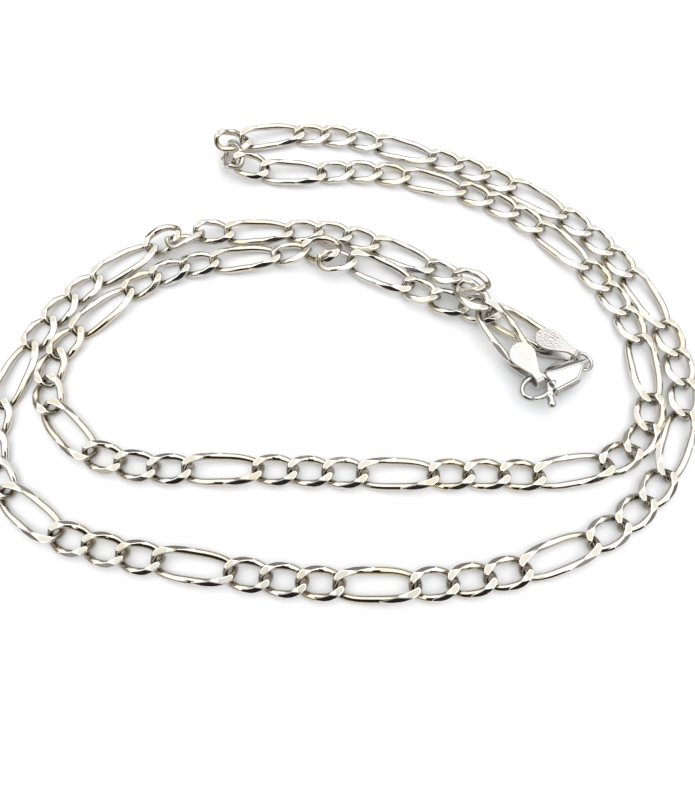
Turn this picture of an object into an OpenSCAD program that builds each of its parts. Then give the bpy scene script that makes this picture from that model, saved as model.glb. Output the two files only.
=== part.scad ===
// Figaro chain with a lobster clasp, laid down doubled on a flat surface.
// Three small curb links and one long link repeat round the whole loop. Each link is an oval of
// round wire, twisted from end to end and ground flat above and below. X runs to the right, Y away
// from the viewer and Z up. The chain lies on the plane Z = 0.

/* [Small links] */
// Outside length of a small link
small_len = 6.4; // [6.3:0.05:6.8]
// Outside width of a small link
small_w = 4.35; // [4.2:0.05:4.45]
// Twist of a small link from its middle to each end, in degrees
small_twist = 45; // [42:1:48]

/* [Long links] */
// Outside length of a long link
long_len = 11.1; // [10.8:0.05:12]
// Outside width of a long link
long_w = 4.5; // [4.3:0.05:4.6]
// Twist of a long link from its middle to each end, in degrees
long_twist = 36; // [33:1:39]
// Most twist of the two end links on the side of their tab, in degrees
tab_side_twist = 10; // [8:1:12]

/* [Wire] */
// Thickness of the wire along the sides of a link
side_wire = 1.0; // [0.9:0.05:1.05]
// Thickness of the wire at the ends, where two links hook
hook_wire = 0.78; // [0.7:0.02:0.84]
// Play between two hooked links as the chain lies
hook_play = 0.22; // [0.16:0.02:0.3]
// Thickness of the chain after its two faces are ground
chain_t = 1.6; // [1.5:0.05:1.8]

/* [End tabs] */
// Length of a folded tab, from its round end to its fold
tab_len = 6.9; // [6.6:0.1:7.2]
// Width of the round end of a tab
tab_w = 3.7; // [3.5:0.1:3.9]
// Width of a tab at its fold
tab_neck_w = 1.15; // [1:0.05:1.3]
// Thickness of the strip that a tab is folded from
tab_strip = 0.35; // [0.3:0.05:0.4]
// Play between the leaves of a tab and what they hold, on each side
tab_play = 0.18; // [0.16:0.01:0.22]
// Play of the claw's bar in the fold of its tab, on each side
claw_play = 0.22; // [0.2:0.02:0.3]
// Diameter of the soldered stud that joins the two leaves inside the end link
stud_d = 1.6; // [1.2:0.1:1.7]

/* [Jump ring] */
// Outside diameter of the jump ring
ring_d = 3.4; // [3.3:0.05:3.6]
// Thickness of its wire
ring_wire = 0.55; // [0.5:0.05:0.6]

/* [Clasp] */
// Length of the clasp's body, from its eye end to the opening of its claw
body_len = 6.8; // [6.6:0.1:7]
// Width of the body
body_w = 4.1; // [3.8:0.1:4.4]
// Thickness of the body along its middle
body_t = 2.4; // [2.3:0.05:2.8]
// Thickness of the body along its two edges
body_edge_t = 1.5; // [1.3:0.05:1.7]
// Length of the opening inside the claw
opening_len = 3.8; // [3.4:0.1:4.2]
// Width of that opening
opening_w = 2.2; // [2:0.1:2.3]
// Width of the claw's bar seen from above
claw_w = 0.85; // [0.75:0.05:0.95]
// Thickness of the claw's bar
claw_t = 1.2; // [1.1:0.05:1.3]
// Thickness of the lever where it runs between the two cheeks of the body
lever_t = 0.8; // [0.7:0.05:0.9]
// Diameter of the lever's pin
pin_d = 0.6; // [0.5:0.05:0.7]
// Length of the oval eye for the jump ring
eye_len = 1.9; // [1.7:0.1:2.1]
// Height of that eye
eye_h = 1.4; // [1.3:0.05:1.5]

/* [Hidden] */
silver = [0.80, 0.80, 0.79];
warm_silver = [0.86, 0.83, 0.74];
bright_silver = [0.88, 0.88, 0.88];
$fn = 48;
// Reach of a cut past the face that it goes through
past = 1;

// Corners round the wire, and stations round a link
wire_sides = 5;
small_stations = 12;
long_stations = 16;
// How full the oval is: 2 is an ellipse and more is closer to a rectangle
small_fullness = 2.6;
long_fullness = 3.4;

// Length that each link adds to the chain
small_step = small_len - 2 * hook_wire - hook_play;
long_step = long_len - 2 * hook_wire - hook_play;
// Links in one repeat of the pattern, one long and the rest small
pattern = 4;
repeats = 25;
last_link = pattern * repeats;
// The first half of the chain ends with this link
half_link = 50;
period = (pattern - 1) * small_step + long_step;

// Route of the laid chain, from the long link at the claw round the whole loop to the long link
// at the jump ring. A row is the number of a link, then X and Y of its centre. A link that lies
// tilted, where the chain is kinked, also has the height of its centre, heading, pitch and roll.
route_period = 23.2;
route_middle = [-0.75, 0.25];
route = [
    [0, 22.2, -2.7, 2.6, 120, 5, -13.5], [1, 18.5, 3.1, 3.2, 130, 0, 8],
    [2, 18.3, 5.9, 2.7, 142.5, -21.5, -6], [3, 14.9, 8.5, 1.2, 147, -7, 10.5],
    [4, 9.1, 12.1], [6, -1.5, 16.6], [8, -13.1, 17.1],
    [9, -20.0, 16.9, 1.4, 186.5, 14, -4.5], [10, -24.1, 15.2, 2.1, 210.5, 16, 37.5],
    [11, -27.6, 15.3, 1.8, 206, -15, -17], [12, -33.5, 12.3], [14, -42.0, 4.2], [16, -46.9, -6.3],
    [18, -48.1, -17.7], [20, -41.8, -26.9], [22, -31.1, -31.4], [24, -19.6, -33.6], [26, -8.4, -35.6],
    [28, 3.1, -36.5], [30, 14.8, -36.1], [32, 26.0, -33.6], [34, 36.5, -28.2], [36, 44.1, -19.3],
    [38, 46.8, -7.9], [40, 44.5, 3.5], [42, 39.2, 13.7], [44, 31.0, 22.1], [46, 21.2, 28.4],
    [48, 10.6, 32.7], [50, -0.4, 36.4], [52, -11.5, 36.5, 1, 190.5, 3.5, -10],
    [53, -17.8, 34.8, 1.9, 196.5, 18.5, -9], [54, -17.9, 31.5, 1.9, 283.5, 10, 23],
    [55, -14.7, 29.5, 1.8, 350, -12.5, 21], [56, -7.9, 28.6, 1, 356.5, -2, 7.5], [58, 3.6, 28.7],
    [60, 14.8, 26.0], [62, 25.2, 21.0], [64, 33.6, 13.1], [66, 39.8, 3.5], [68, 42.2, -7.8],
    [70, 39.3, -18.5], [72, 29.5, -22.8], [74, 18.0, -22.6], [76, 6.4, -22.4], [78, -5.1, -21.7],
    [80, -16.7, -21.0], [82, -28.2, -20.5], [84, -38.7, -15.8], [86, -42.1, -5.4], [88, -35.7, 3.9],
    [90, -26.3, 10.4], [92, -15.0, 12.3], [93, -8.0, 12.8, 1.2, 6, 8, -13],
    [94, -3.4, 12.8, 1.9, -6, 9.5, 19], [95, -1.0, 10.9, 1.7, 5.5, -9, -7],
    [96, 5.4, 8.9, 1.2, -27.5, -3, 9.5], [97, 11.2, 5.4, 1.3, -31, 8, -6],
    [98, 15.2, 3.3, 1.3, -19.5, -2, 1], [99, 19.6, 2.1, 1.2, -10, -5, 9],
    [100, 25.2, -1.1, 1.1, -36.5, 2.5, 0]
];

// How the fittings lie: heading, pitch and roll of the two tabs on their end links
ring_tab_lie = [-34, 2, -7];
claw_tab_lie = [-62, -4, 1];
// Centre of the jump ring and of the clasp's eye from the outer end of the last link, and the
// turns that each of them lies at
ring_at = [3.4, -2.32, -0.1];
ring_lie = [31, -14, 0];
eye_at = [2.75, -3.17, 0.1];
clasp_lie = [208, 5, 1];

function is_long(i) = i % pattern == 0;
function step_of(i) = is_long(i) ? long_step : small_step;
// Place of a link's centre along the chain, and of the hooking point before it
function along(i) = floor(i / pattern) * period
    + (is_long(i) ? 0 : (long_step - small_step) / 2 + (i % pattern) * small_step);
function hook_along(i) = along(i) - step_of(i) / 2;

// Smooth curve through one column of a table whose first column rises
function rise(t, c, k) = let (a = max(k - 1, 0), b = min(k + 1, len(t) - 1))
    (t[b][c] - t[a][c]) / (t[b][0] - t[a][0]);
function row_before(t, s) = max(0, min(len(t) - 2, len([for (r = t) if (r[0] <= s) 1]) - 1));
function hermite(p0, m0, p1, m1, u) = p0 * (2 * u ^ 3 - 3 * u ^ 2 + 1) + m0 * (u ^ 3 - 2 * u ^ 2 + u)
    + p1 * (3 * u ^ 2 - 2 * u ^ 3) + m1 * (u ^ 3 - u ^ 2);
function smooth_at(t, c, s) = let (k = row_before(t, s), h = t[k + 1][0] - t[k][0])
    hermite(t[k][c], rise(t, c, k) * h, t[k + 1][c], rise(t, c, k + 1) * h, (s - t[k][0]) / h);

function laid(x, y) = ([x, y] - route_middle) * period / route_period;
route_laid = [for (r = route) [along(r[0]), each laid(r[1], r[2])]];
function route_point(s) = [smooth_at(route_laid, 1, s), smooth_at(route_laid, 2, s)];

function turn_x(q) = [[1, 0, 0, 0], [0, cos(q), -sin(q), 0], [0, sin(q), cos(q), 0], [0, 0, 0, 1]];
function turn_y(q) = [[cos(q), 0, sin(q), 0], [0, 1, 0, 0], [-sin(q), 0, cos(q), 0], [0, 0, 0, 1]];
function turn_z(q) = [[cos(q), -sin(q), 0, 0], [sin(q), cos(q), 0, 0], [0, 0, 1, 0], [0, 0, 0, 1]];
function shift(v) = [[1, 0, 0, v[0]], [0, 1, 0, v[1]], [0, 0, 1, v[2]], [0, 0, 0, 1]];
// Place of a thing: its centre, then heading, pitch with the front up, and roll
function lie(at, heading, pitch, roll) = shift(at) * turn_z(heading) * turn_y(-pitch) * turn_x(roll);
function spot(pose, p) = let (v = pose * [p[0], p[1], p[2], 1]) [v[0], v[1], v[2]];

function flat_pose(i) =
    let (from = route_point(hook_along(i)),
         to = route_point(hook_along(i) + step_of(i)),
         mid = (from + to) / 2,
         run = to - from)
    lie([mid[0], mid[1], chain_t / 2], atan2(run[1], run[0]), 0, 0);
function tilted_pose(r) = let (xy = laid(r[1], r[2])) lie([xy[0], xy[1], r[3]], r[4], r[5], r[6]);
function link_pose(i) = let (rows = [for (r = route) if (r[0] == i && len(r) > 3) r])
    len(rows) == 0 ? flat_pose(i) : tilted_pose(rows[0]);

function spow(v, p) = sign(v) * pow(abs(v), p);
function oval(a, b, full, t) = [a * spow(cos(t), 2 / full), b * spow(sin(t), 2 / full)];
function turned(p, angle) = [p[0], p[1] * cos(angle) - p[2] * sin(angle), p[1] * sin(angle) + p[2] * cos(angle)];
function ground(p) = [p[0], p[1], max(-chain_t / 2, min(chain_t / 2, p[2]))];
// Twist at a place from -1 to 1 along a link, with less of it on the side of a tab
function twist_at(place, twist, tab_side) =
    place * tab_side > 0 ? -sign(place) * min(twist * abs(place), tab_side_twist) : -twist * place;
function wire_ring(a, b, full, t, twist, tab_side) =
    let (c = oval(a, b, full, t),
         d = oval(a, b, full, t + 1) - oval(a, b, full, t - 1),
         out = [d[1], -d[0], 0] / norm(d),
         r = (hook_wire + (side_wire - hook_wire) * abs(sin(t))) / 2,
         angle = twist_at(c[0] / a, twist, tab_side))
    [for (j = [0 : wire_sides - 1])
        let (q = 180 + 360 * j / wire_sides)
        ground(turned([c[0], c[1], 0] + r * (cos(q) * out + [0, 0, sin(q)]), angle))];

// One link, its middle at the origin and its length along X. tab_side is 1 or -1 for the end that
// a tab holds, and 0 on all other links.
module link(len_out, w_out, full, twist, stations, tab_side = 0) {
    a = (len_out - hook_wire) / 2;
    b = (w_out - side_wire) / 2;
    points = [for (k = [0 : stations - 1]) each wire_ring(a, b, full, 360 * k / stations, twist, tab_side)];
    faces = [for (k = [0 : stations - 1], j = [0 : wire_sides - 1])
        let (k1 = (k + 1) % stations, j1 = (j + 1) % wire_sides,
             p = k * wire_sides + j, q = k * wire_sides + j1,
             r = k1 * wire_sides + j1, s = k1 * wire_sides + j)
        each [[p, q, r], [p, r, s]]];
    polyhedron(points, faces);
}

module small_link() {
    link(small_len, small_w, small_fullness, small_twist, small_stations);
}

module long_link(tab_side = 0) {
    link(long_len, long_w, long_fullness, long_twist, long_stations, tab_side);
}

module laid_link(i) {
    multmatrix(link_pose(i))
        if (is_long(i)) long_link(i == 0 ? -1 : i == last_link ? 1 : 0);
        else small_link();
}

module chain_claw_half() {
    color(silver)
        for (i = [0 : half_link]) laid_link(i);
}

module chain_ring_half() {
    color(silver)
        for (i = [half_link + 1 : last_link]) laid_link(i);
}

// Outer ends of the first and the last link, where the tabs hold them
claw_end = spot(link_pose(0), [-long_len / 2, 0, 0]);
ring_end = spot(link_pose(last_link), [long_len / 2, 0, 0]);

// A tab is a strip folded round the end link. Its own origin is at the outer end of that link and
// its fold is along X. The round end starts this far back.
tab_hold = 1.4;
leaf_gap = side_wire + 2 * tab_play;
neck_at = 1.8;
fold_end = tab_len - tab_w / 2 - tab_hold;
tab_arc_steps = 12;

// Outline of a tab seen from above: a round end, straight sides that touch it and the narrow neck
module tab_plan() {
    big = tab_w / 2;
    small = tab_neck_w / 2;
    reach = neck_at + tab_hold;
    touch = acos((big - small) / reach);
    polygon(concat(
        [[fold_end + past, -small]],
        [[neck_at, -small]],
        [for (k = [0 : tab_arc_steps])
            let (q = -touch - (360 - 2 * touch) * k / tab_arc_steps)
            [-tab_hold + big * cos(q), big * sin(q)]],
        [[neck_at, small]],
        [[fold_end + past, small]]));
}

// Outline of a tab seen from the side: two leaves that run into the fold
module tab_side_view(fold_gap) {
    in_r = fold_gap / 2;
    out_r = in_r + tab_strip;
    fold_x = fold_end - out_r;
    back = -tab_hold - tab_w;
    bends = [for (k = [0 : tab_arc_steps]) 90 - 180 * k / tab_arc_steps];
    polygon(concat(
        [[back, leaf_gap / 2 + tab_strip], [0, leaf_gap / 2 + tab_strip]],
        [for (q = bends) [fold_x + out_r * cos(q), out_r * sin(q)]],
        [[0, -leaf_gap / 2 - tab_strip], [back, -leaf_gap / 2 - tab_strip]],
        [[back, -leaf_gap / 2], [0, -leaf_gap / 2]],
        [for (k = [tab_arc_steps : -1 : 0]) [fold_x + in_r * cos(bends[k]), in_r * sin(bends[k])]],
        [[0, leaf_gap / 2], [back, leaf_gap / 2]]));
}

module tab(fold_gap) {
    stud_x = -hook_wire - tab_play - stud_d / 2;
    intersection() {
        translate([0, 0, -tab_w]) linear_extrude(2 * tab_w) tab_plan();
        rotate([90, 0, 0]) translate([0, 0, -tab_w]) linear_extrude(2 * tab_w) tab_side_view(fold_gap);
    }
    translate([stud_x, 0, -leaf_gap / 2 - tab_strip / 2])
        cylinder(d = stud_d, h = leaf_gap + tab_strip);
}

module ring_tab() {
    color(bright_silver)
        multmatrix(lie(ring_end, ring_tab_lie[0], ring_tab_lie[1], ring_tab_lie[2]))
            tab(leaf_gap);
}

module claw_tab() {
    color(warm_silver)
        multmatrix(lie(claw_end, claw_tab_lie[0], claw_tab_lie[1], claw_tab_lie[2]))
            tab(claw_t + 2 * claw_play);
}

module jump_ring() {
    color(bright_silver)
        multmatrix(lie(ring_end + ring_at, ring_lie[0], ring_lie[1], ring_lie[2]))
            rotate_extrude() translate([(ring_d - ring_wire) / 2, 0]) circle(d = ring_wire, $fn = 24);
}

// The clasp's own origin is the middle of its eye. Its claw is along X, its lever on the +Y side.
clasp_pose = lie(ring_end + eye_at, clasp_lie[0], clasp_lie[1], clasp_lie[2]);
eye_wall = 0.35;
eye_edge = eye_len / 2 + eye_wall;
front = body_len - eye_edge;
opening_x = front + opening_len / 2;
opening_y = -0.08;
// The bar of the claw goes round the opening from its root to its tip, then the lever closes it
claw_root = -165;
claw_tip = 50;
lever_pivot = 152;
bar_step = 5;
bar_mid = claw_w / 2;
tip_gap = 0.12;
slot_play = 0.1;
pin_len = body_t - 0.3;
pin_play = 0.02;
bore_play = 0.05;
boss_d = 1.4;
knob_at = 118;
knob_tip = [7.0, 2.9];
knob_d = 1.05;
knob_stem_w = 0.75;

// Half widths of the body as shares of its width: place from the eye end to the front, as a share
// of its length, then the claw's side and the lever's side
body_shape = [
    [0, 0.09, 0.09], [0.03, 0.13, 0.13], [0.10, 0.16, 0.16], [0.20, 0.18, 0.19], [0.32, 0.34, 0.37],
    [0.46, 0.46, 0.52], [0.60, 0.48, 0.54], [0.78, 0.45, 0.54], [0.90, 0.40, 0.54], [1, 0.28, 0.53]
];
body_steps = 24;

function bar_point(grow, q) = [opening_x + (opening_len / 2 + grow) * cos(q),
    opening_y + (opening_w / 2 + grow) * sin(q)];
pivot = bar_point(bar_mid, lever_pivot);

module bar(from, to) {
    steps = ceil(abs(to - from) / bar_step);
    sweep = [for (k = [0 : steps]) from + (to - from) * k / steps];
    polygon(concat([for (q = sweep) bar_point(claw_w, q)],
        [for (k = [steps : -1 : 0]) bar_point(0, sweep[k])]));
}

module body_outline() {
    stations = [for (k = [0 : body_steps]) k / body_steps];
    polygon(concat(
        [for (s = stations) [s * body_len - eye_edge, -body_w * smooth_at(body_shape, 1, s)]],
        [for (k = [body_steps : -1 : 0])
            [stations[k] * body_len - eye_edge, body_w * smooth_at(body_shape, 2, stations[k])]]));
}

// The body is a prism of its outline, domed above and below by two large cylinders along it
module body_solid() {
    sink = (body_t - body_edge_t) / 2;
    dome_r = ((body_w / 2) ^ 2 + sink ^ 2) / (2 * sink);
    intersection() {
        translate([0, 0, -body_t]) linear_extrude(2 * body_t) body_outline();
        dome(dome_r, body_t / 2 - dome_r);
        dome(dome_r, dome_r - body_t / 2);
    }
}

module dome(r, z) {
    translate([-eye_edge - past, 0, z])
        rotate([0, 90, 0]) cylinder(r = r, h = body_len + 2 * past, $fn = 96);
}

// The eye is an oval hole from side to side
module eye_hole() {
    flat = eye_len - eye_h;
    rotate([90, 0, 0]) translate([0, 0, -body_w / 2]) {
        for (side = [-1, 1]) translate([side * flat / 2, 0, 0]) cylinder(d = eye_h, h = body_w);
        translate([-flat / 2, -eye_h / 2, 0]) cube([flat, eye_h, body_w]);
    }
}

// The space between the two cheeks in which the lever turns, open to the front and to its side
module lever_slot() {
    t = lever_t + 2 * slot_play;
    r = boss_d / 2 + tip_gap;
    translate([pivot[0], pivot[1], -t / 2]) {
        cylinder(r = r, h = t);
        translate([0, -r, 0]) cube([opening_len / 2, body_w, t]);
    }
}

// Everything within reach of the lever's end, on the lever's side, which parts it from the claw
module lever_reach(r) {
    intersection() {
        translate([pivot[0], pivot[1]]) circle(r = r, $fn = 120);
        translate([pivot[0], opening_y]) square([2 * opening_len, body_w]);
    }
}

module clasp_body() {
    reach = norm(bar_point(claw_w, claw_tip) - pivot);
    color(silver) multmatrix(clasp_pose) difference() {
        union() {
            body_solid();
            translate([0, 0, -claw_t / 2]) linear_extrude(claw_t) difference() {
                bar(claw_root, claw_tip);
                lever_reach(reach - tip_gap);
            }
        }
        lever_slot();
        eye_hole();
        translate([pivot[0], pivot[1], -body_t]) cylinder(d = pin_d + 2 * pin_play, h = 2 * body_t);
    }
}

// The lever: a boss on the pin, a bar that closes the claw, and a knob for the thumb
module clasp_lever() {
    reach = norm(bar_point(claw_w, claw_tip) - pivot);
    color(silver) multmatrix(clasp_pose) difference() {
        union() {
            translate([pivot[0], pivot[1], -lever_t / 2]) cylinder(d = boss_d, h = lever_t);
            translate([0, 0, -lever_t / 2]) linear_extrude(lever_t) bar(knob_at, lever_pivot);
            translate([0, 0, -claw_t / 2]) linear_extrude(claw_t) intersection() {
                bar(claw_tip - bar_step, knob_at);
                lever_reach(reach - 2 * tip_gap);
            }
            translate([0, 0, -claw_t / 2]) linear_extrude(claw_t) knob();
        }
        translate([pivot[0], pivot[1], -claw_t]) cylinder(d = pin_d + 2 * bore_play, h = 2 * claw_t);
    }
}

module knob() {
    foot = bar_point(bar_mid, knob_at);
    run = knob_tip - foot;
    side = [-run[1], run[0]] / norm(run) * knob_stem_w / 2;
    translate(knob_tip) circle(d = knob_d);
    polygon([foot + side, foot - side, knob_tip - side, knob_tip + side]);
}

module lever_pin() {
    color(bright_silver) multmatrix(clasp_pose)
        translate([pivot[0], pivot[1], -pin_len / 2]) cylinder(d = pin_d, h = pin_len);
}

chain_claw_half();
chain_ring_half();
ring_tab();
claw_tab();
jump_ring();
clasp_body();
clasp_lever();
lever_pin();
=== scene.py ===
"""Looks of a figaro chain with a lobster clasp, laid doubled on a white surface."""
import math

import bmesh
import bpy
import numpy as np
from mathutils import Matrix, Vector

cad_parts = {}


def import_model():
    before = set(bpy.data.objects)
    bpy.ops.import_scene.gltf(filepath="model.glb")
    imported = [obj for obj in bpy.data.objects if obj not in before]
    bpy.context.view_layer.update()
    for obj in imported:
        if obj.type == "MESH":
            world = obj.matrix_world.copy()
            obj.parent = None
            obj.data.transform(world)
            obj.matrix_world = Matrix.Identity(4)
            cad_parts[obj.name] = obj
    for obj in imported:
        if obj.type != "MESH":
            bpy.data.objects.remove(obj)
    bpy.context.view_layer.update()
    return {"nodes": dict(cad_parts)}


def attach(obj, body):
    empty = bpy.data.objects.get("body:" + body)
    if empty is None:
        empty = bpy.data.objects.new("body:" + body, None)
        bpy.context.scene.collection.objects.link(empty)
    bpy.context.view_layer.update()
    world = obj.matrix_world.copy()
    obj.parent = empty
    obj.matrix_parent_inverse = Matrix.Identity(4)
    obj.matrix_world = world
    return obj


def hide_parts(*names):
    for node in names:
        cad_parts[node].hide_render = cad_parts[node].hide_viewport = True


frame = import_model()

MM = 0.001

# Links, in millimetres: the same sizes as the construction
SMALL = {"length": 6.4, "width": 4.35, "fullness": 2.35, "twist": 45, "stations": 46}
LONG = {"length": 11.1, "width": 4.5, "fullness": 3.1, "twist": 36, "stations": 68}
SIDE_WIRE = 1.0
HOOK_WIRE = 0.78
HOOK_PLAY = 0.22
CHAIN_T = 1.6
TAB_SIDE_TWIST = 10
WIRE_SIDES = 14
# Wire at the middle of a link's sides, and how late along a link its twist comes
SIDE_SWELL = 1.08
TWIST_POWER = 1.7

# Facets ground on a link: slope of the two shoulders, their distance from the link's middle, and
# the height and width of the rim that each facet is left with
SHOULDER_SLOPE = 35
SHOULDER_AT = {"small": 1.45, "long": 1.57}
RIM_H = 0.03
RIM_W = 0.10
# Share of a link's half length past which its flats are satin, and where its painted shade, for the shade
# where the links hook into each other, begins and is full
SATIN_FROM = 0.7
PAINTED_SHADE_FROM, PAINTED_SHADE_FULL = 0.6, 1.0
# How fast the painted shade grows below a link's flats
PAINTED_SHADE_LOW = 1.3

# Places in the chain's list of materials, after the wire itself: satin flats, shiny facets, their rims, which
# carry a painted highlight
SATIN_SLOT, SHINY_SLOT, RIM_SLOT = 1, 2, 3

PATTERN = 4
LAST_LINK = 100
HALF_LINK = 50
ROUTE_MIDDLE = (-0.75, 0.25)
ROUTE = [
    (0, 22.2, -2.7, 2.6, 120, 5, -13.5), (1, 18.5, 3.1, 3.2, 130, 0, 8),
    (2, 18.3, 5.9, 2.7, 142.5, -21.5, -6), (3, 14.9, 8.5, 1.2, 147, -7, 10.5),
    (4, 9.1, 12.1), (6, -1.5, 16.6), (8, -13.1, 17.1),
    (9, -20.0, 16.9, 1.4, 186.5, 14, -4.5), (10, -24.1, 15.2, 2.1, 210.5, 16, 37.5),
    (11, -27.6, 15.3, 1.8, 206, -15, -17), (12, -33.5, 12.3), (14, -42.0, 4.2), (16, -46.9, -6.3),
    (18, -48.1, -17.7), (20, -41.8, -26.9), (22, -31.1, -31.4), (24, -19.6, -33.6), (26, -8.4, -35.6),
    (28, 3.1, -36.5), (30, 14.8, -36.1), (32, 26.0, -33.6), (34, 36.5, -28.2), (36, 44.1, -19.3),
    (38, 46.8, -7.9), (40, 44.5, 3.5), (42, 39.2, 13.7), (44, 31.0, 22.1), (46, 21.2, 28.4),
    (48, 10.6, 32.7), (50, -0.4, 36.4), (52, -11.5, 36.5, 1, 190.5, 3.5, -10),
    (53, -17.8, 34.8, 1.9, 196.5, 18.5, -9), (54, -17.9, 31.5, 1.9, 283.5, 10, 23),
    (55, -14.7, 29.5, 1.8, 350, -12.5, 21), (56, -7.9, 28.6, 1, 356.5, -2, 7.5), (58, 3.6, 28.7),
    (60, 14.8, 26.0), (62, 25.2, 21.0), (64, 33.6, 13.1), (66, 39.8, 3.5), (68, 42.2, -7.8),
    (70, 39.3, -18.5), (72, 29.5, -22.8), (74, 18.0, -22.6), (76, 6.4, -22.4), (78, -5.1, -21.7),
    (80, -16.7, -21.0), (82, -28.2, -20.5), (84, -38.7, -15.8), (86, -42.1, -5.4), (88, -35.7, 3.9),
    (90, -26.3, 10.4), (92, -15.0, 12.3), (93, -8.0, 12.8, 1.2, 6, 8, -13),
    (94, -3.4, 12.8, 1.9, -6, 9.5, 19), (95, -1.0, 10.9, 1.7, 5.5, -9, -7),
    (96, 5.4, 8.9, 1.2, -27.5, -3, 9.5), (97, 11.2, 5.4, 1.3, -31, 8, -6),
    (98, 15.2, 3.3, 1.3, -19.5, -2, 1), (99, 19.6, 2.1, 1.2, -10, -5, 9),
    (100, 25.2, -1.1, 1.1, -36.5, 2.5, 0),
]


# Where each link lies

def is_long(i):
    return i % PATTERN == 0


def step_of(i):
    return (LONG if is_long(i) else SMALL)["length"] - 2 * HOOK_WIRE - HOOK_PLAY


def along(i):
    """Place of a link's centre along the chain."""
    small, long = step_of(1), step_of(0)
    period = (PATTERN - 1) * small + long
    return i // PATTERN * period + (0 if is_long(i) else (long - small) / 2 + i % PATTERN * small)


TABLE = [(along(row[0]), row[1] - ROUTE_MIDDLE[0], row[2] - ROUTE_MIDDLE[1]) for row in ROUTE]
TILTED = {row[0]: row for row in ROUTE if len(row) > 3}


def smooth_at(table, column, s):
    """Smooth curve through one column of a table whose first column rises."""
    def rise(k):
        a, b = max(k - 1, 0), min(k + 1, len(table) - 1)
        return (table[b][column] - table[a][column]) / (table[b][0] - table[a][0])
    k = max(0, min(len(table) - 2, sum(row[0] <= s for row in table) - 1))
    h = table[k + 1][0] - table[k][0]
    u = (s - table[k][0]) / h
    return (table[k][column] * (2 * u**3 - 3 * u**2 + 1) + rise(k) * h * (u**3 - 2 * u**2 + u)
            + table[k + 1][column] * (3 * u**2 - 2 * u**3) + rise(k + 1) * h * (u**3 - u**2))


def lie(at, heading, pitch, roll):
    """Place of a thing, in metres, from millimetres and degrees; pitch lifts its front."""
    turns = (Matrix.Rotation(math.radians(heading), 4, "Z") @ Matrix.Rotation(math.radians(-pitch), 4, "Y")
             @ Matrix.Rotation(math.radians(roll), 4, "X"))
    return Matrix.Translation(Vector(at) * MM) @ turns


def link_pose(i):
    if i in TILTED:
        _, x, y, z, heading, pitch, roll = TILTED[i]
        return lie((x - ROUTE_MIDDLE[0], y - ROUTE_MIDDLE[1], z), heading, pitch, roll)
    ends = [along(i) - step_of(i) / 2, along(i) + step_of(i) / 2]
    a, b = [Vector((smooth_at(TABLE, 1, s), smooth_at(TABLE, 2, s), CHAIN_T / 2)) for s in ends]
    return lie((a + b) / 2, math.degrees(math.atan2((b - a).y, (b - a).x)), 0, 0)


# The shape of one link

def spow(v, p):
    return math.copysign(abs(v) ** p, v)


def even_angles(a, b, power, count, fine=1440):
    """Angles of an oval whose points are evenly spaced along it, measured in fine steps."""
    points = [Vector((a * spow(math.cos(t), power), b * spow(math.sin(t), power)))
              for t in (2 * math.pi * k / fine for k in range(fine + 1))]
    run = [0.0]
    for p, q in zip(points, points[1:]):
        run.append(run[-1] + (q - p).length)
    angles, k = [], 0
    for n in range(count):
        want = (n + 0.5) * run[-1] / count
        while run[k + 1] < want:
            k += 1
        angles.append(2 * math.pi * (k + (want - run[k]) / (run[k + 1] - run[k])) / fine)
    return angles


def twist_at(place, twist, tab_side):
    if place * tab_side > 0:
        return -math.copysign(min(twist * abs(place), TAB_SIDE_TWIST), place)
    return -twist * spow(place, TWIST_POWER)


def tube(bm, kind, tab_side):
    """Closed round wire along a twisted oval."""
    a = (kind["length"] - HOOK_WIRE) / 2
    b = (kind["width"] - SIDE_WIRE) / 2
    power = 2 / kind["fullness"]
    rings = []
    for t in even_angles(a, b, power, kind["stations"]):
        x, y = a * spow(math.cos(t), power), b * spow(math.sin(t), power)
        e = math.radians(1)
        dx = a * (spow(math.cos(t + e), power) - spow(math.cos(t - e), power))
        dy = b * (spow(math.sin(t + e), power) - spow(math.sin(t - e), power))
        out = Vector((dy, -dx, 0)).normalized()
        r = (HOOK_WIRE + (SIDE_SWELL - HOOK_WIRE) * abs(math.sin(t))) / 2
        turn = Matrix.Rotation(math.radians(twist_at(x / a, kind["twist"], tab_side)), 3, "X")
        ring = []
        for j in range(WIRE_SIDES):
            q = 2 * math.pi * (j + 0.5) / WIRE_SIDES
            p = turn @ (Vector((x, y, 0)) + r * (math.cos(q) * out + math.sin(q) * Vector((0, 0, 1))))
            ring.append(bm.verts.new(p))
        rings.append(ring)
    for ring, after in zip(rings, rings[1:] + rings[:1]):
        for j in range(WIRE_SIDES):
            k = (j + 1) % WIRE_SIDES
            face = bm.faces.new((ring[j], ring[k], after[k], after[j]))
            face.smooth = True


def grind(bm, normal, at, slot):
    """Cuts all that lies past a plane and closes the cuts with flat faces, each with a raised middle."""
    normal = Vector(normal).normalized()
    cut = bmesh.ops.bisect_plane(bm, geom=bm.verts[:] + bm.edges[:] + bm.faces[:], dist=1e-5,
                                 plane_co=normal * (at - RIM_H), plane_no=normal, clear_outer=True)
    rim = [e for e in cut["geom_cut"] if isinstance(e, bmesh.types.BMEdge)]
    made = bmesh.ops.holes_fill(bm, edges=rim, sides=0)["faces"]
    for face in made:
        face.smooth = False
        face.material_index = slot
        face.normal_update()
        if face.normal.dot(normal) < 0:
            face.normal_flip()
    for e in rim:
        e.smooth = False
    for face in made:
        band = bmesh.ops.inset_individual(bm, faces=[face], thickness=RIM_W, depth=0)["faces"]
        for f in band:
            f.material_index = RIM_SLOT
            f.smooth = False
        for v in face.verts:
            v.co += normal * RIM_H


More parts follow.
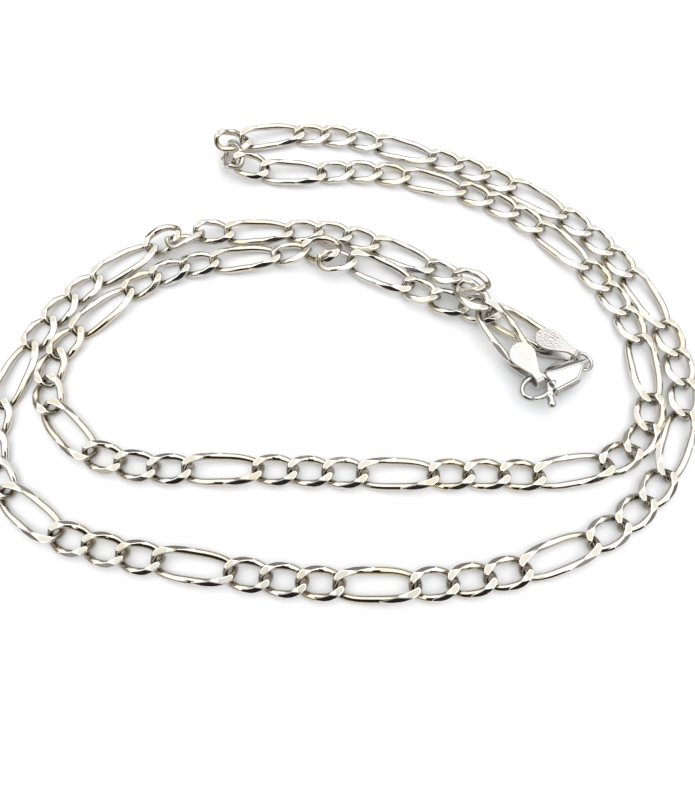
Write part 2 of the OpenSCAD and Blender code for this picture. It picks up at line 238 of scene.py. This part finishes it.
def part_flats(bm, a):
    """Splits the flats into a polished middle and satin ends."""
    for side in (1, -1):
        flats = [f for f in bm.faces if f.material_index == SATIN_SLOT]
        around = list({v for f in flats for v in f.verts}) + list({e for f in flats for e in f.edges}) + flats
        bmesh.ops.bisect_plane(bm, geom=around, plane_co=(side * SATIN_FROM * a, 0, 0), plane_no=(1, 0, 0))
    for f in bm.faces:
        if f.material_index == SATIN_SLOT and abs(f.calc_center_median().x) < SATIN_FROM * a:
            f.material_index = SHINY_SLOT


def painted_shade(bm, a):
    """Keeps on each vertex how much painted shade it gets: darker towards a link's ends, where the hooks lie
    in each other's shade, and below its flats.
    """
    layer = bm.verts.layers.float.new("painted_shade")
    for v in bm.verts:
        out = (abs(v.co.x) / a - PAINTED_SHADE_FROM) / (PAINTED_SHADE_FULL - PAINTED_SHADE_FROM)
        low = 1 - abs(v.co.z) / (CHAIN_T / 2)
        v[layer] = max(0.0, min(1.0, out)) * max(0.0, min(1.0, PAINTED_SHADE_LOW * low))


def link_mesh(name, kind, shoulder, tab_side=0):
    bm = bmesh.new()
    tube(bm, kind, tab_side)
    bmesh.ops.recalc_face_normals(bm, faces=bm.faces[:])
    slope = math.radians(SHOULDER_SLOPE)
    for up in (1, -1):
        for side in (1, -1):
            grind(bm, (0, side * math.sin(slope), up * math.cos(slope)), shoulder, SHINY_SLOT)
        grind(bm, (0, 0, up), CHAIN_T / 2, SATIN_SLOT)
    part_flats(bm, (kind["length"] - HOOK_WIRE) / 2)
    painted_shade(bm, (kind["length"] - HOOK_WIRE) / 2)
    bmesh.ops.scale(bm, vec=(MM, MM, MM), verts=bm.verts[:])
    mesh = bpy.data.meshes.new(name)
    bm.to_mesh(mesh)
    bm.free()
    return mesh


def half_chain(name, node, numbers, meshes, materials):
    """All the links of one half of the chain, joined in one mesh."""
    bm = bmesh.new()
    for i in numbers:
        kind = "first" if i == 0 else "last" if i == LAST_LINK else "long" if is_long(i) else "small"
        start = len(bm.verts)
        bm.from_mesh(meshes[kind])
        bm.verts.ensure_lookup_table()
        bmesh.ops.transform(bm, matrix=link_pose(i), verts=bm.verts[start:])
    mesh = bpy.data.meshes.new(name)
    bm.to_mesh(mesh)
    bm.free()
    for material in materials:
        mesh.materials.append(material)
    piece = bpy.data.objects.new(name, mesh)
    bpy.context.scene.collection.objects.link(piece)
    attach(piece, "necklace")
    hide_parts(node)
    return piece


# Materials: patches vary a link's colour and grain its gloss; both are scales of noise per metre
# Colour of the painted shade where the links hook into each other
PAINTED_SHADE = (0.30, 0.27, 0.21)
PATCH_SCALE = 260
LINK_SHARE = 0.35
WARM_FROM, WARM_FULL = 0.5, 0.95
SCRATCH_DEEP = 0.00002
STIPPLE_SCALE, STIPPLE_STRENGTH, STIPPLE_DEEP = 3600, 0.7, 0.00012


def silver(name, colour, warm, rough, rough_more, scratch, grain, stipple=False):
    """Silver with warm patches that vary from link to link, painted shade where a mesh holds a shade
    attribute, and fine scratches.
    """
    material = bpy.data.materials.new(name)
    material.use_nodes = True
    nodes, links = material.node_tree.nodes, material.node_tree.links
    shader = nodes["Principled BSDF"]
    shader.inputs["Metallic"].default_value = 1.0
    where = nodes.new("ShaderNodeTexCoord")
    each = nodes.new("ShaderNodeNewGeometry")
    patches = nodes.new("ShaderNodeTexNoise")
    patches.inputs["Scale"].default_value = PATCH_SCALE
    patches.inputs["Detail"].default_value = 3
    links.new(where.outputs["Object"], patches.inputs["Vector"])
    blend = nodes.new("ShaderNodeMath")
    blend.operation = "MULTIPLY_ADD"
    links.new(each.outputs["Random Per Island"], blend.inputs[0])
    blend.inputs[1].default_value = LINK_SHARE
    links.new(patches.outputs["Fac"], blend.inputs[2])
    tint = nodes.new("ShaderNodeValToRGB")
    tint.color_ramp.elements[0].position = WARM_FROM
    tint.color_ramp.elements[0].color = (*colour, 1)
    tint.color_ramp.elements[1].position = WARM_FULL
    tint.color_ramp.elements[1].color = (*warm, 1)
    links.new(blend.outputs[0], tint.inputs["Fac"])
    # Painted shade: the colour darkens by the per-vertex shade attribute, towards the links' hooks
    dark = nodes.new("ShaderNodeAttribute")
    dark.attribute_name = "painted_shade"
    shade_mix = nodes.new("ShaderNodeMix")
    shade_mix.data_type = "RGBA"
    shade_mix.inputs["B"].default_value = (*PAINTED_SHADE, 1)
    links.new(dark.outputs["Fac"], shade_mix.inputs["Factor"])
    links.new(tint.outputs["Color"], shade_mix.inputs["A"])
    links.new(shade_mix.outputs["Result"], shader.inputs["Base Color"])
    fine = nodes.new("ShaderNodeTexNoise")
    fine.inputs["Scale"].default_value = grain
    fine.inputs["Detail"].default_value = 6
    links.new(where.outputs["Object"], fine.inputs["Vector"])
    gloss = nodes.new("ShaderNodeMapRange")
    gloss.inputs["To Min"].default_value = rough
    gloss.inputs["To Max"].default_value = rough + rough_more
    links.new(fine.outputs["Fac"], gloss.inputs["Value"])
    links.new(gloss.outputs["Result"], shader.inputs["Roughness"])
    bump = nodes.new("ShaderNodeBump")
    bump.inputs["Strength"].default_value = scratch
    bump.inputs["Distance"].default_value = SCRATCH_DEEP
    links.new(fine.outputs["Fac"], bump.inputs["Height"])
    links.new(bump.outputs["Normal"], shader.inputs["Normal"])
    if stipple:
        cells = nodes.new("ShaderNodeTexVoronoi")
        cells.inputs["Scale"].default_value = STIPPLE_SCALE
        links.new(where.outputs["Object"], cells.inputs["Vector"])
        field = nodes.new("ShaderNodeAttribute")
        field.attribute_name = "stipple"
        pits = nodes.new("ShaderNodeMath")
        pits.operation = "MULTIPLY"
        links.new(cells.outputs["Distance"], pits.inputs[0])
        links.new(field.outputs["Fac"], pits.inputs[1])
        punch = nodes.new("ShaderNodeBump")
        punch.inputs["Strength"].default_value = STIPPLE_STRENGTH
        punch.inputs["Distance"].default_value = STIPPLE_DEEP
        links.new(pits.outputs[0], punch.inputs["Height"])
        links.new(bump.outputs["Normal"], punch.inputs["Normal"])
        links.new(punch.outputs["Normal"], shader.inputs["Normal"])
    return material


WIRE = silver("polished_wire", (0.66, 0.64, 0.59), (0.62, 0.55, 0.42), 0.03, 0.05, 0.2, 3000)
FLAT = silver("ground_flat", (0.50, 0.485, 0.43), (0.50, 0.45, 0.34), 0.24, 0.16, 0.6, 9000)
SHOULDER = silver("cut_shoulder", (0.68, 0.66, 0.63), (0.66, 0.60, 0.47), 0.04, 0.05, 0.15, 6000)
TAB = silver("tab_silver", (0.61, 0.605, 0.59), (0.63, 0.60, 0.47), 0.26, 0.18, 0.4, 6000, stipple=True)
CAST = silver("cast_silver", (0.60, 0.60, 0.59), (0.60, 0.59, 0.55), 0.10, 0.12, 0.3, 3000)
# Facet rims: base colour painted far lighter than the wire's, a painted highlight along the facet edges
RIM_HIGHLIGHT = silver("facet_rim_highlight", (0.93, 0.92, 0.89), (0.90, 0.87, 0.78), 0.30, 0.10, 0.2, 6000)

link_meshes = {
    "small": link_mesh("small_link", SMALL, SHOULDER_AT["small"]),
    "long": link_mesh("long_link", LONG, SHOULDER_AT["long"]),
    "first": link_mesh("first_link", LONG, SHOULDER_AT["long"], -1),
    "last": link_mesh("last_link", LONG, SHOULDER_AT["long"], 1),
}
chain_materials = [WIRE, FLAT, SHOULDER, RIM_HIGHLIGHT]
half_chain("claw_half", "chain_claw_half", range(0, HALF_LINK + 1), link_meshes, chain_materials)
half_chain("ring_half", "chain_ring_half", range(HALF_LINK + 1, LAST_LINK + 1), link_meshes, chain_materials)

# Fittings: each is its construction solid in even small faces, with soft edges and finer detail

# Size of a fitting's faces in millimetres, and rounds of softening
TAB_MESH, BODY_MESH, LEVER_MESH, PIN_MESH = (0.045, 6), (0.05, 8), (0.045, 6), (0.03, 2)
RING_TAB_LIE = (-34, 2, -7)
CLAW_TAB_LIE = (-62, -4, 1)
RING_AT, RING_LIE = (3.4, -2.32, -0.1), (31, -14, 0)
EYE_AT, CLASP_LIE = (2.75, -3.17, 0.1), (208, 5, 1)
RING_D, RING_WIRE = 3.4, 0.55
TAB_HOLD, TAB_W, TAB_GROOVE_AT = 1.4, 3.7, 2.75
# Upper leaf of a tab, the rim round its sunk field, and how far the stipple fades out along its neck
LEAF_ABOVE = 0.3
FIELD_RIM, FIELD_DEEP = (0.18, 0.42), 0.035
TAB_GROOVE_DEEP, TAB_GROOVE_W = 0.09, 0.05
NECK_FADE, NECK_REACH, NECK_SHARE = (0.4, 1.6), (0.1, 1.8), 0.5
BODY_LEN, BODY_W, EYE_EDGE = 6.8, 4.1, 1.30
FRONT = BODY_LEN - EYE_EDGE
BODY_SHAPE = [
    (0, 0.09, 0.09), (0.03, 0.13, 0.13), (0.10, 0.16, 0.16), (0.20, 0.18, 0.19), (0.32, 0.34, 0.37),
    (0.46, 0.46, 0.52), (0.60, 0.48, 0.54), (0.78, 0.45, 0.54), (0.90, 0.40, 0.54), (1, 0.28, 0.53),
]
# Bevel on the claw's side of the body: where it begins, as places along and across, and how it falls
BEVEL_FROM = [(-1.4, 0.25), (0, 0.05), (1.0, -0.12), (2.2, -0.32), (3.3, -0.52), (4.4, -0.85), (5.6, -1.45)]
BEVEL_SLOPE, BEVEL_CURVE = 0.16, 0.28
RIDGE_DEEP, RIDGE_W = 0.05, 0.05
# Share of its full depth that the relief of the body's face has, the heights where the face begins,
# the places about the front where it ends, and the length over which the claw grows round
FACE_SHARE, FACE_FROM = 0.8, (0.4, 0.6)
FACE_END, CLAW_BLEND = (FRONT - 0.02, FRONT + 0.05), 0.6
# Rounded edges of the body's face, as fall and reach, on the lever's side and on the claw's side
LEVER_EDGE, CLAW_EDGE = (0.30, 0.45), (0.16, 0.25)
# Seam round the body's edge on the lever's side: how far in it works, and where it fades at the front
SEAM_DEEP, SEAM_W, SEAM_IN, SEAM_FADE = 0.10, 0.09, 0.1, 0.3
# How far the body's face falls from its middle to its sides and its ends
DOME_WIDE, DOME_LONG = 0.16, 0.12
# Line scored inside the lever's side of the body
LINE_IN, LINE_DEEP, LINE_W, LINE_END = 0.62, 0.08, 0.07, 0.7
OPENING_LEN, OPENING_W, OPENING_Y = 3.8, 2.2, -0.08
OPENING_X = FRONT + OPENING_LEN / 2
CLAW_W, CLAW_T, LEVER_T = 0.85, 1.2, 0.8
KNOB_AT, KNOB_TIP, KNOB_D, KNOB_STEM_W = 118, (7.0, 2.9), 1.05, 0.75
# Places along the clasp where the lever's bar grows thick and then round
THICK_FROM, ROUND_FROM = (6.15, 6.35), (6.3, 6.6)
# Distances along the knob and round it over which the bar passes into it
KNOB_FROM, KNOB_ROUND = (0.45, 0.8), (0.04, 0.15)
# What the knob gains when it is rounded, the share of the pin's length that is left, and how far
# inside the body's front it ends
KNOB_SWELL, PIN_LEFT, PIN_INSIDE = 0.10, 0.93, 0.02

ring_end = link_pose(LAST_LINK) @ Vector((LONG["length"] / 2 * MM, 0, 0)) / MM
claw_end = link_pose(0) @ Vector((-LONG["length"] / 2 * MM, 0, 0)) / MM
ring_tab_pose = lie(ring_end, *RING_TAB_LIE)
claw_tab_pose = lie(claw_end, *CLAW_TAB_LIE)
ring_pose = lie(ring_end + Vector(RING_AT), *RING_LIE)
clasp_pose = lie(ring_end + Vector(EYE_AT), *CLASP_LIE)


def remeshed(node, pose, voxel, rounds):
    """A node's solid as points in millimetres in its own frame, in even faces with soft edges."""
    mesh = frame["nodes"][node].data.copy()
    mesh.transform(Matrix.Scale(1 / MM, 4) @ pose.inverted())
    piece = bpy.data.objects.new(node + "_even", mesh)
    bpy.context.scene.collection.objects.link(piece)
    even = piece.modifiers.new("even", "REMESH")
    even.mode = "VOXEL"
    even.voxel_size = voxel
    soft = piece.modifiers.new("soft", "SMOOTH")
    soft.factor = 0.5
    soft.iterations = rounds
    made = bpy.data.meshes.new_from_object(piece.evaluated_get(bpy.context.evaluated_depsgraph_get()))
    bpy.data.objects.remove(piece)
    return made


def points_of(mesh):
    flat = np.empty(len(mesh.vertices) * 3)
    mesh.vertices.foreach_get("co", flat)
    return flat.reshape(-1, 3)


def fitting(node, mesh, points, pose, material, body="necklace", marks=None):
    """Puts a fitting's new points in place and lets it stand for its node."""
    mesh.vertices.foreach_set("co", points.ravel())
    if marks is not None:
        mesh.attributes.new("stipple", "FLOAT", "POINT").data.foreach_set("value", marks)
    mesh.transform(pose @ Matrix.Scale(MM, 4))
    mesh.polygons.foreach_set("use_smooth", [True] * len(mesh.polygons))
    mesh.materials.clear()
    mesh.materials.append(material)
    mesh.update()
    piece = bpy.data.objects.new(node + "_look", mesh)
    bpy.context.scene.collection.objects.link(piece)
    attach(piece, body)
    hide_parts(node)
    return piece


def ease(x, low, high):
    t = np.clip((x - low) / (high - low), 0, 1)
    return t * t * (3 - 2 * t)


def groove(away, deep, wide):
    return deep * np.exp(-(away / wide)**2)


# Limits for points that lie a little outside a section, and the steps in which a point's distance from the
# opening's oval is found
SECTION_LIMIT, BAR_MARGIN = 1.05, 0.1
OVAL_STEPS, OVAL_LIMITS = 12, (-0.6, 3)


def disc(u, v):
    """Moves points of a square section, whose sides are at 1 and -1, to a round one."""
    u, v = np.clip(u, -SECTION_LIMIT, SECTION_LIMIT), np.clip(v, -SECTION_LIMIT, SECTION_LIMIT)
    return u * np.sqrt(1 - v * v / 2), v * np.sqrt(1 - u * u / 2)


def round_bar(p, half, weight):
    """Makes the claw's and the lever's bar round in section, where the weight is 1."""
    a, b = OPENING_LEN / 2, OPENING_W / 2
    x, y = p[:, 0] - OPENING_X, p[:, 1] - OPENING_Y
    grow = np.full(len(p), CLAW_W / 2)
    for _ in range(OVAL_STEPS):
        f = (x / (a + grow))**2 + (y / (b + grow))**2 - 1
        slope = -2 * (x**2 / (a + grow)**3 + y**2 / (b + grow)**3)
        grow = np.clip(grow - f / slope, *OVAL_LIMITS)
    u, v = disc((grow - CLAW_W / 2) / (CLAW_W / 2), p[:, 2] / half)
    c, s = x / (a + grow), y / (b + grow)
    wide = CLAW_W / 2 * (1 + u)
    to = np.stack([OPENING_X + (a + wide) * c, OPENING_Y + (b + wide) * s, half * v], 1)
    weight = weight * (np.abs(grow - CLAW_W / 2) < CLAW_W / 2 + BAR_MARGIN)
    return p + (to - p) * weight[:, None]


def tab_look(node, pose):
    """Folded tab: a sunk stippled field on its round end and a line scored across its neck."""
    mesh = remeshed(node, pose, *TAB_MESH)
    p = points_of(mesh)
    top = p[:, 2] > LEAF_ABOVE
    reach = np.hypot(p[:, 0] + TAB_HOLD, p[:, 1])
    edge = TAB_W / 2
    field = (1 - ease(reach, edge - FIELD_RIM[1], edge - FIELD_RIM[0])) * top
    p[:, 2] -= FIELD_DEEP * field
    p[:, 2] -= groove(p[:, 0] - TAB_GROOVE_AT, TAB_GROOVE_DEEP, TAB_GROOVE_W) * top
    by_reach = 1 - ease(reach, edge + NECK_REACH[0], edge + NECK_REACH[1])
    neck = (1 - ease(p[:, 0], *NECK_FADE)) * by_reach * top
    return fitting(node, mesh, p, pose, TAB, marks=np.maximum(field, NECK_SHARE * neck))


def ring_look():
    bpy.ops.mesh.primitive_torus_add(major_segments=96, minor_segments=32, minor_radius=RING_WIRE / 2,
                                     major_radius=(RING_D - RING_WIRE) / 2)
    made = bpy.context.object
    mesh = made.data
    bpy.data.objects.remove(made)
    return fitting("jump_ring", mesh, points_of(mesh), ring_pose, CAST)


def body_side(column):
    """Half widths of the body on one side, for places along it from its eye end."""
    at = [k / 60 for k in range(61)]
    return at, [BODY_W * smooth_at(BODY_SHAPE, column, s) for s in at]


def body_look():
    """Cast body: round claw, domed face with a bevel and a scored line, a seam on its edge."""
    mesh = remeshed("clasp_body", clasp_pose, *BODY_MESH)
    p = points_of(mesh)
    p = round_bar(p, CLAW_T / 2, ease(p[:, 0], FRONT, FRONT + CLAW_BLEND))
    share = (p[:, 0] + EYE_EDGE) / BODY_LEN
    low, high = -np.interp(share, *body_side(1)), np.interp(share, *body_side(2))
    face = ease(np.abs(p[:, 2]), *FACE_FROM) * (1 - ease(p[:, 0], *FACE_END))
    places = np.linspace(-EYE_EDGE, FRONT, 60)
    away = np.interp(p[:, 0], places, [smooth_at(BEVEL_FROM, 1, x) for x in places]) - p[:, 1]
    past = np.maximum(away, 0)
    down = BEVEL_SLOPE * past + BEVEL_CURVE * past**2 + groove(away, RIDGE_DEEP, RIDGE_W)
    down += DOME_WIDE * ((2 * p[:, 1] - low - high) / (high - low))**2 + DOME_LONG * (2 * share - 1)**2
    line = p[:, 1] - (high - LINE_IN)
    end = p[:, 0] + EYE_EDGE - LINE_IN * LINE_END
    scored = groove(np.where(end < 0, np.hypot(line, end), line), LINE_DEEP, LINE_W)
    edge = (LEVER_EDGE[0] * (1 - ease(high - p[:, 1], 0, LEVER_EDGE[1]))
            + CLAW_EDGE[0] * (1 - ease(p[:, 1] - low, 0, CLAW_EDGE[1])))
    p[:, 2] -= np.sign(p[:, 2]) * face * (down * FACE_SHARE + scored + edge)
    wall = (p[:, 1] > high - SEAM_IN) * (1 - ease(p[:, 0], FRONT - SEAM_FADE, FRONT))
    p[:, 1] -= groove(p[:, 2], SEAM_DEEP, SEAM_W) * wall
    return fitting("clasp_body", mesh, p, clasp_pose, CAST)


def lever_look():
    """Lever: a bar that grows round and thick ahead of the body, and a bulb of a knob."""
    mesh = remeshed("clasp_lever", clasp_pose, *LEVER_MESH)
    p = points_of(mesh)
    at = math.radians(KNOB_AT)
    foot = np.array((OPENING_X + (OPENING_LEN / 2 + CLAW_W / 2) * math.cos(at),
                     OPENING_Y + (OPENING_W / 2 + CLAW_W / 2) * math.sin(at)))
    run = np.array(KNOB_TIP) - foot
    reach = math.hypot(*run)
    t = np.clip((p[:, :2] - foot) @ run / reach**2, 0, 1)
    near = foot + t[:, None] * run
    off = p[:, :2] - near
    far = np.maximum(np.hypot(*off.T), 1e-6)
    radius = np.sqrt(np.maximum((KNOB_D / 2)**2 - ((1 - t) * reach)**2, 0))
    radius = np.maximum(radius, KNOB_STEM_W / 2)
    u, v = disc(far / radius, p[:, 2] / (CLAW_T / 2))
    knob = ease(t * reach, *KNOB_FROM) * (1 - ease(far - radius, *KNOB_ROUND))
    half = LEVER_T / 2 + (CLAW_T - LEVER_T) / 2 * ease(p[:, 0], *THICK_FROM)
    p_bar = round_bar(p, half, ease(p[:, 0], *ROUND_FROM))
    p_knob = np.column_stack([near + off * (u * (radius + KNOB_SWELL) / far)[:, None], v * CLAW_T / 2])
    p = p_bar + (p_knob - p_bar) * knob[:, None]
    return fitting("clasp_lever", mesh, p, clasp_pose, CAST, body="lever")


def pin_look():
    """Rivet, filed down flush with the body's faces and its front."""
    mesh = remeshed("lever_pin", clasp_pose, *PIN_MESH)
    p = points_of(mesh)
    middle = (p.min(0) + p.max(0)) / 2
    p[:, 2] = middle[2] + (p[:, 2] - middle[2]) * PIN_LEFT
    p[:, 0] = np.minimum(p[:, 0], FRONT - PIN_INSIDE)
    return fitting("lever_pin", mesh, p, clasp_pose, CAST)


tab_look("ring_tab", ring_tab_pose)
tab_look("claw_tab", claw_tab_pose)
ring_look()
body_look()
lever_look()
pin_look()


# Surface, light and camera

# White surface, in metres: its size, and how far below the chain it lies
FLOOR_SIZE, FLOOR_GAP = 4, 0.0001
FLOOR_COLOUR, FLOOR_ROUGH = (0.80, 0.805, 0.82), 0.7


def floor():
    bpy.ops.mesh.primitive_plane_add(size=FLOOR_SIZE, location=(0, 0, -FLOOR_GAP))
    plane = bpy.context.object
    plane.name = "white_surface"
    material = bpy.data.materials.new("white_surface")
    material.use_nodes = True
    shader = material.node_tree.nodes["Principled BSDF"]
    shader.inputs["Base Color"].default_value = (*FLOOR_COLOUR, 1)
    shader.inputs["Roughness"].default_value = FLOOR_ROUGH
    plane.data.materials.append(material)


def card(name, corner, across, along, colour):
    """Card that only reflections see: a corner and two sides, in millimetres."""
    corner, across, along = (Vector(v) * MM for v in (corner, across, along))
    mesh = bpy.data.meshes.new(name)
    mesh.from_pydata([corner, corner + across, corner + across + along, corner + along], [], [(0, 1, 2, 3)])
    plane = bpy.data.objects.new(name, mesh)
    bpy.context.scene.collection.objects.link(plane)
    plane.visible_camera = False
    plane.visible_diffuse = False
    plane.visible_shadow = False
    material = bpy.data.materials.new(name)
    material.use_nodes = True
    nodes, links = material.node_tree.nodes, material.node_tree.links
    nodes.remove(nodes["Principled BSDF"])
    glow = nodes.new("ShaderNodeEmission")
    glow.inputs["Color"].default_value = (*colour, 1)
    links.new(glow.outputs[0], nodes["Material Output"].inputs["Surface"])
    plane.data.materials.append(material)


# The room: brightness by height, from the horizon and below at 0 to straight up at 1
ROOM = [(0.0, (0.22, 0.21, 0.20)), (0.12, (0.20, 0.185, 0.165)), (0.40, (0.42, 0.41, 0.40)),
        (0.62, (1.5, 1.5, 1.5)), (0.9, (1.6, 1.6, 1.6))]
ROOM_STRENGTH = 1.15


def world():
    """White light from above, a warm grey room round the horizon."""
    made = bpy.data.worlds.new("room")
    bpy.context.scene.world = made
    made.use_nodes = True
    nodes, links = made.node_tree.nodes, made.node_tree.links
    background = nodes["Background"]
    where = nodes.new("ShaderNodeTexCoord")
    split = nodes.new("ShaderNodeSeparateXYZ")
    ramp = nodes.new("ShaderNodeValToRGB")
    links.new(where.outputs["Generated"], split.inputs[0])
    links.new(split.outputs["Z"], ramp.inputs["Fac"])
    while len(ramp.color_ramp.elements) < len(ROOM):
        ramp.color_ramp.elements.new(0.5)
    for element, (place, colour) in zip(ramp.color_ramp.elements, ROOM):
        element.position = place
        element.color = (*colour, 1)
    links.new(ramp.outputs["Color"], background.inputs["Color"])
    background.inputs["Strength"].default_value = ROOM_STRENGTH


# Camera, measured off the photograph: focal length in its pixels, and place in millimetres
PHOTO_H = 800
FOCAL_PX = 650
CAMERA_AT = (0.75, -47.0, 83.4)
CAMERA_DOWN = 66.93
CAMERA_ROLL = 1.306


def camera():
    data = bpy.data.cameras.new("camera")
    data.sensor_width = 36
    data.lens = FOCAL_PX * data.sensor_width / PHOTO_H
    data.clip_start = 0.001
    data.clip_end = 10
    obj = bpy.data.objects.new("camera", data)
    bpy.context.scene.collection.objects.link(obj)
    obj.matrix_world = (Matrix.Translation(Vector(CAMERA_AT) * MM)
                        @ Matrix.Rotation(math.radians(90 - CAMERA_DOWN), 4, "X")
                        @ Matrix.Rotation(math.radians(-CAMERA_ROLL), 4, "Z"))
    bpy.context.scene.camera = obj


floor()
world()
camera()

# Phone: width, height, and where in it the lens sits, from its left and upper edges
PHONE_W, PHONE_H, LENS_LEFT, LENS_DOWN = 74, 145, 58, 12
phone_right = Vector((1, 0, 0))
phone_down = Vector((0, -math.sin(math.radians(CAMERA_DOWN)), -math.cos(math.radians(CAMERA_DOWN))))
lens = Vector(CAMERA_AT)
card("phone", lens - LENS_DOWN * phone_down - LENS_LEFT * phone_right, PHONE_W * phone_right,
     PHONE_H * phone_down, (0.02, 0.02, 0.022))
card("hand", (-90, -160, 2), (150, 0, 0), (0, 0, 42), (0.50, 0.37, 0.30))
card("clothes", (-260, -330, 0), (520, 0, 0), (0, 0, 420), (0.03, 0.026, 0.024))
bpy.context.scene.view_settings.view_transform = "Standard"
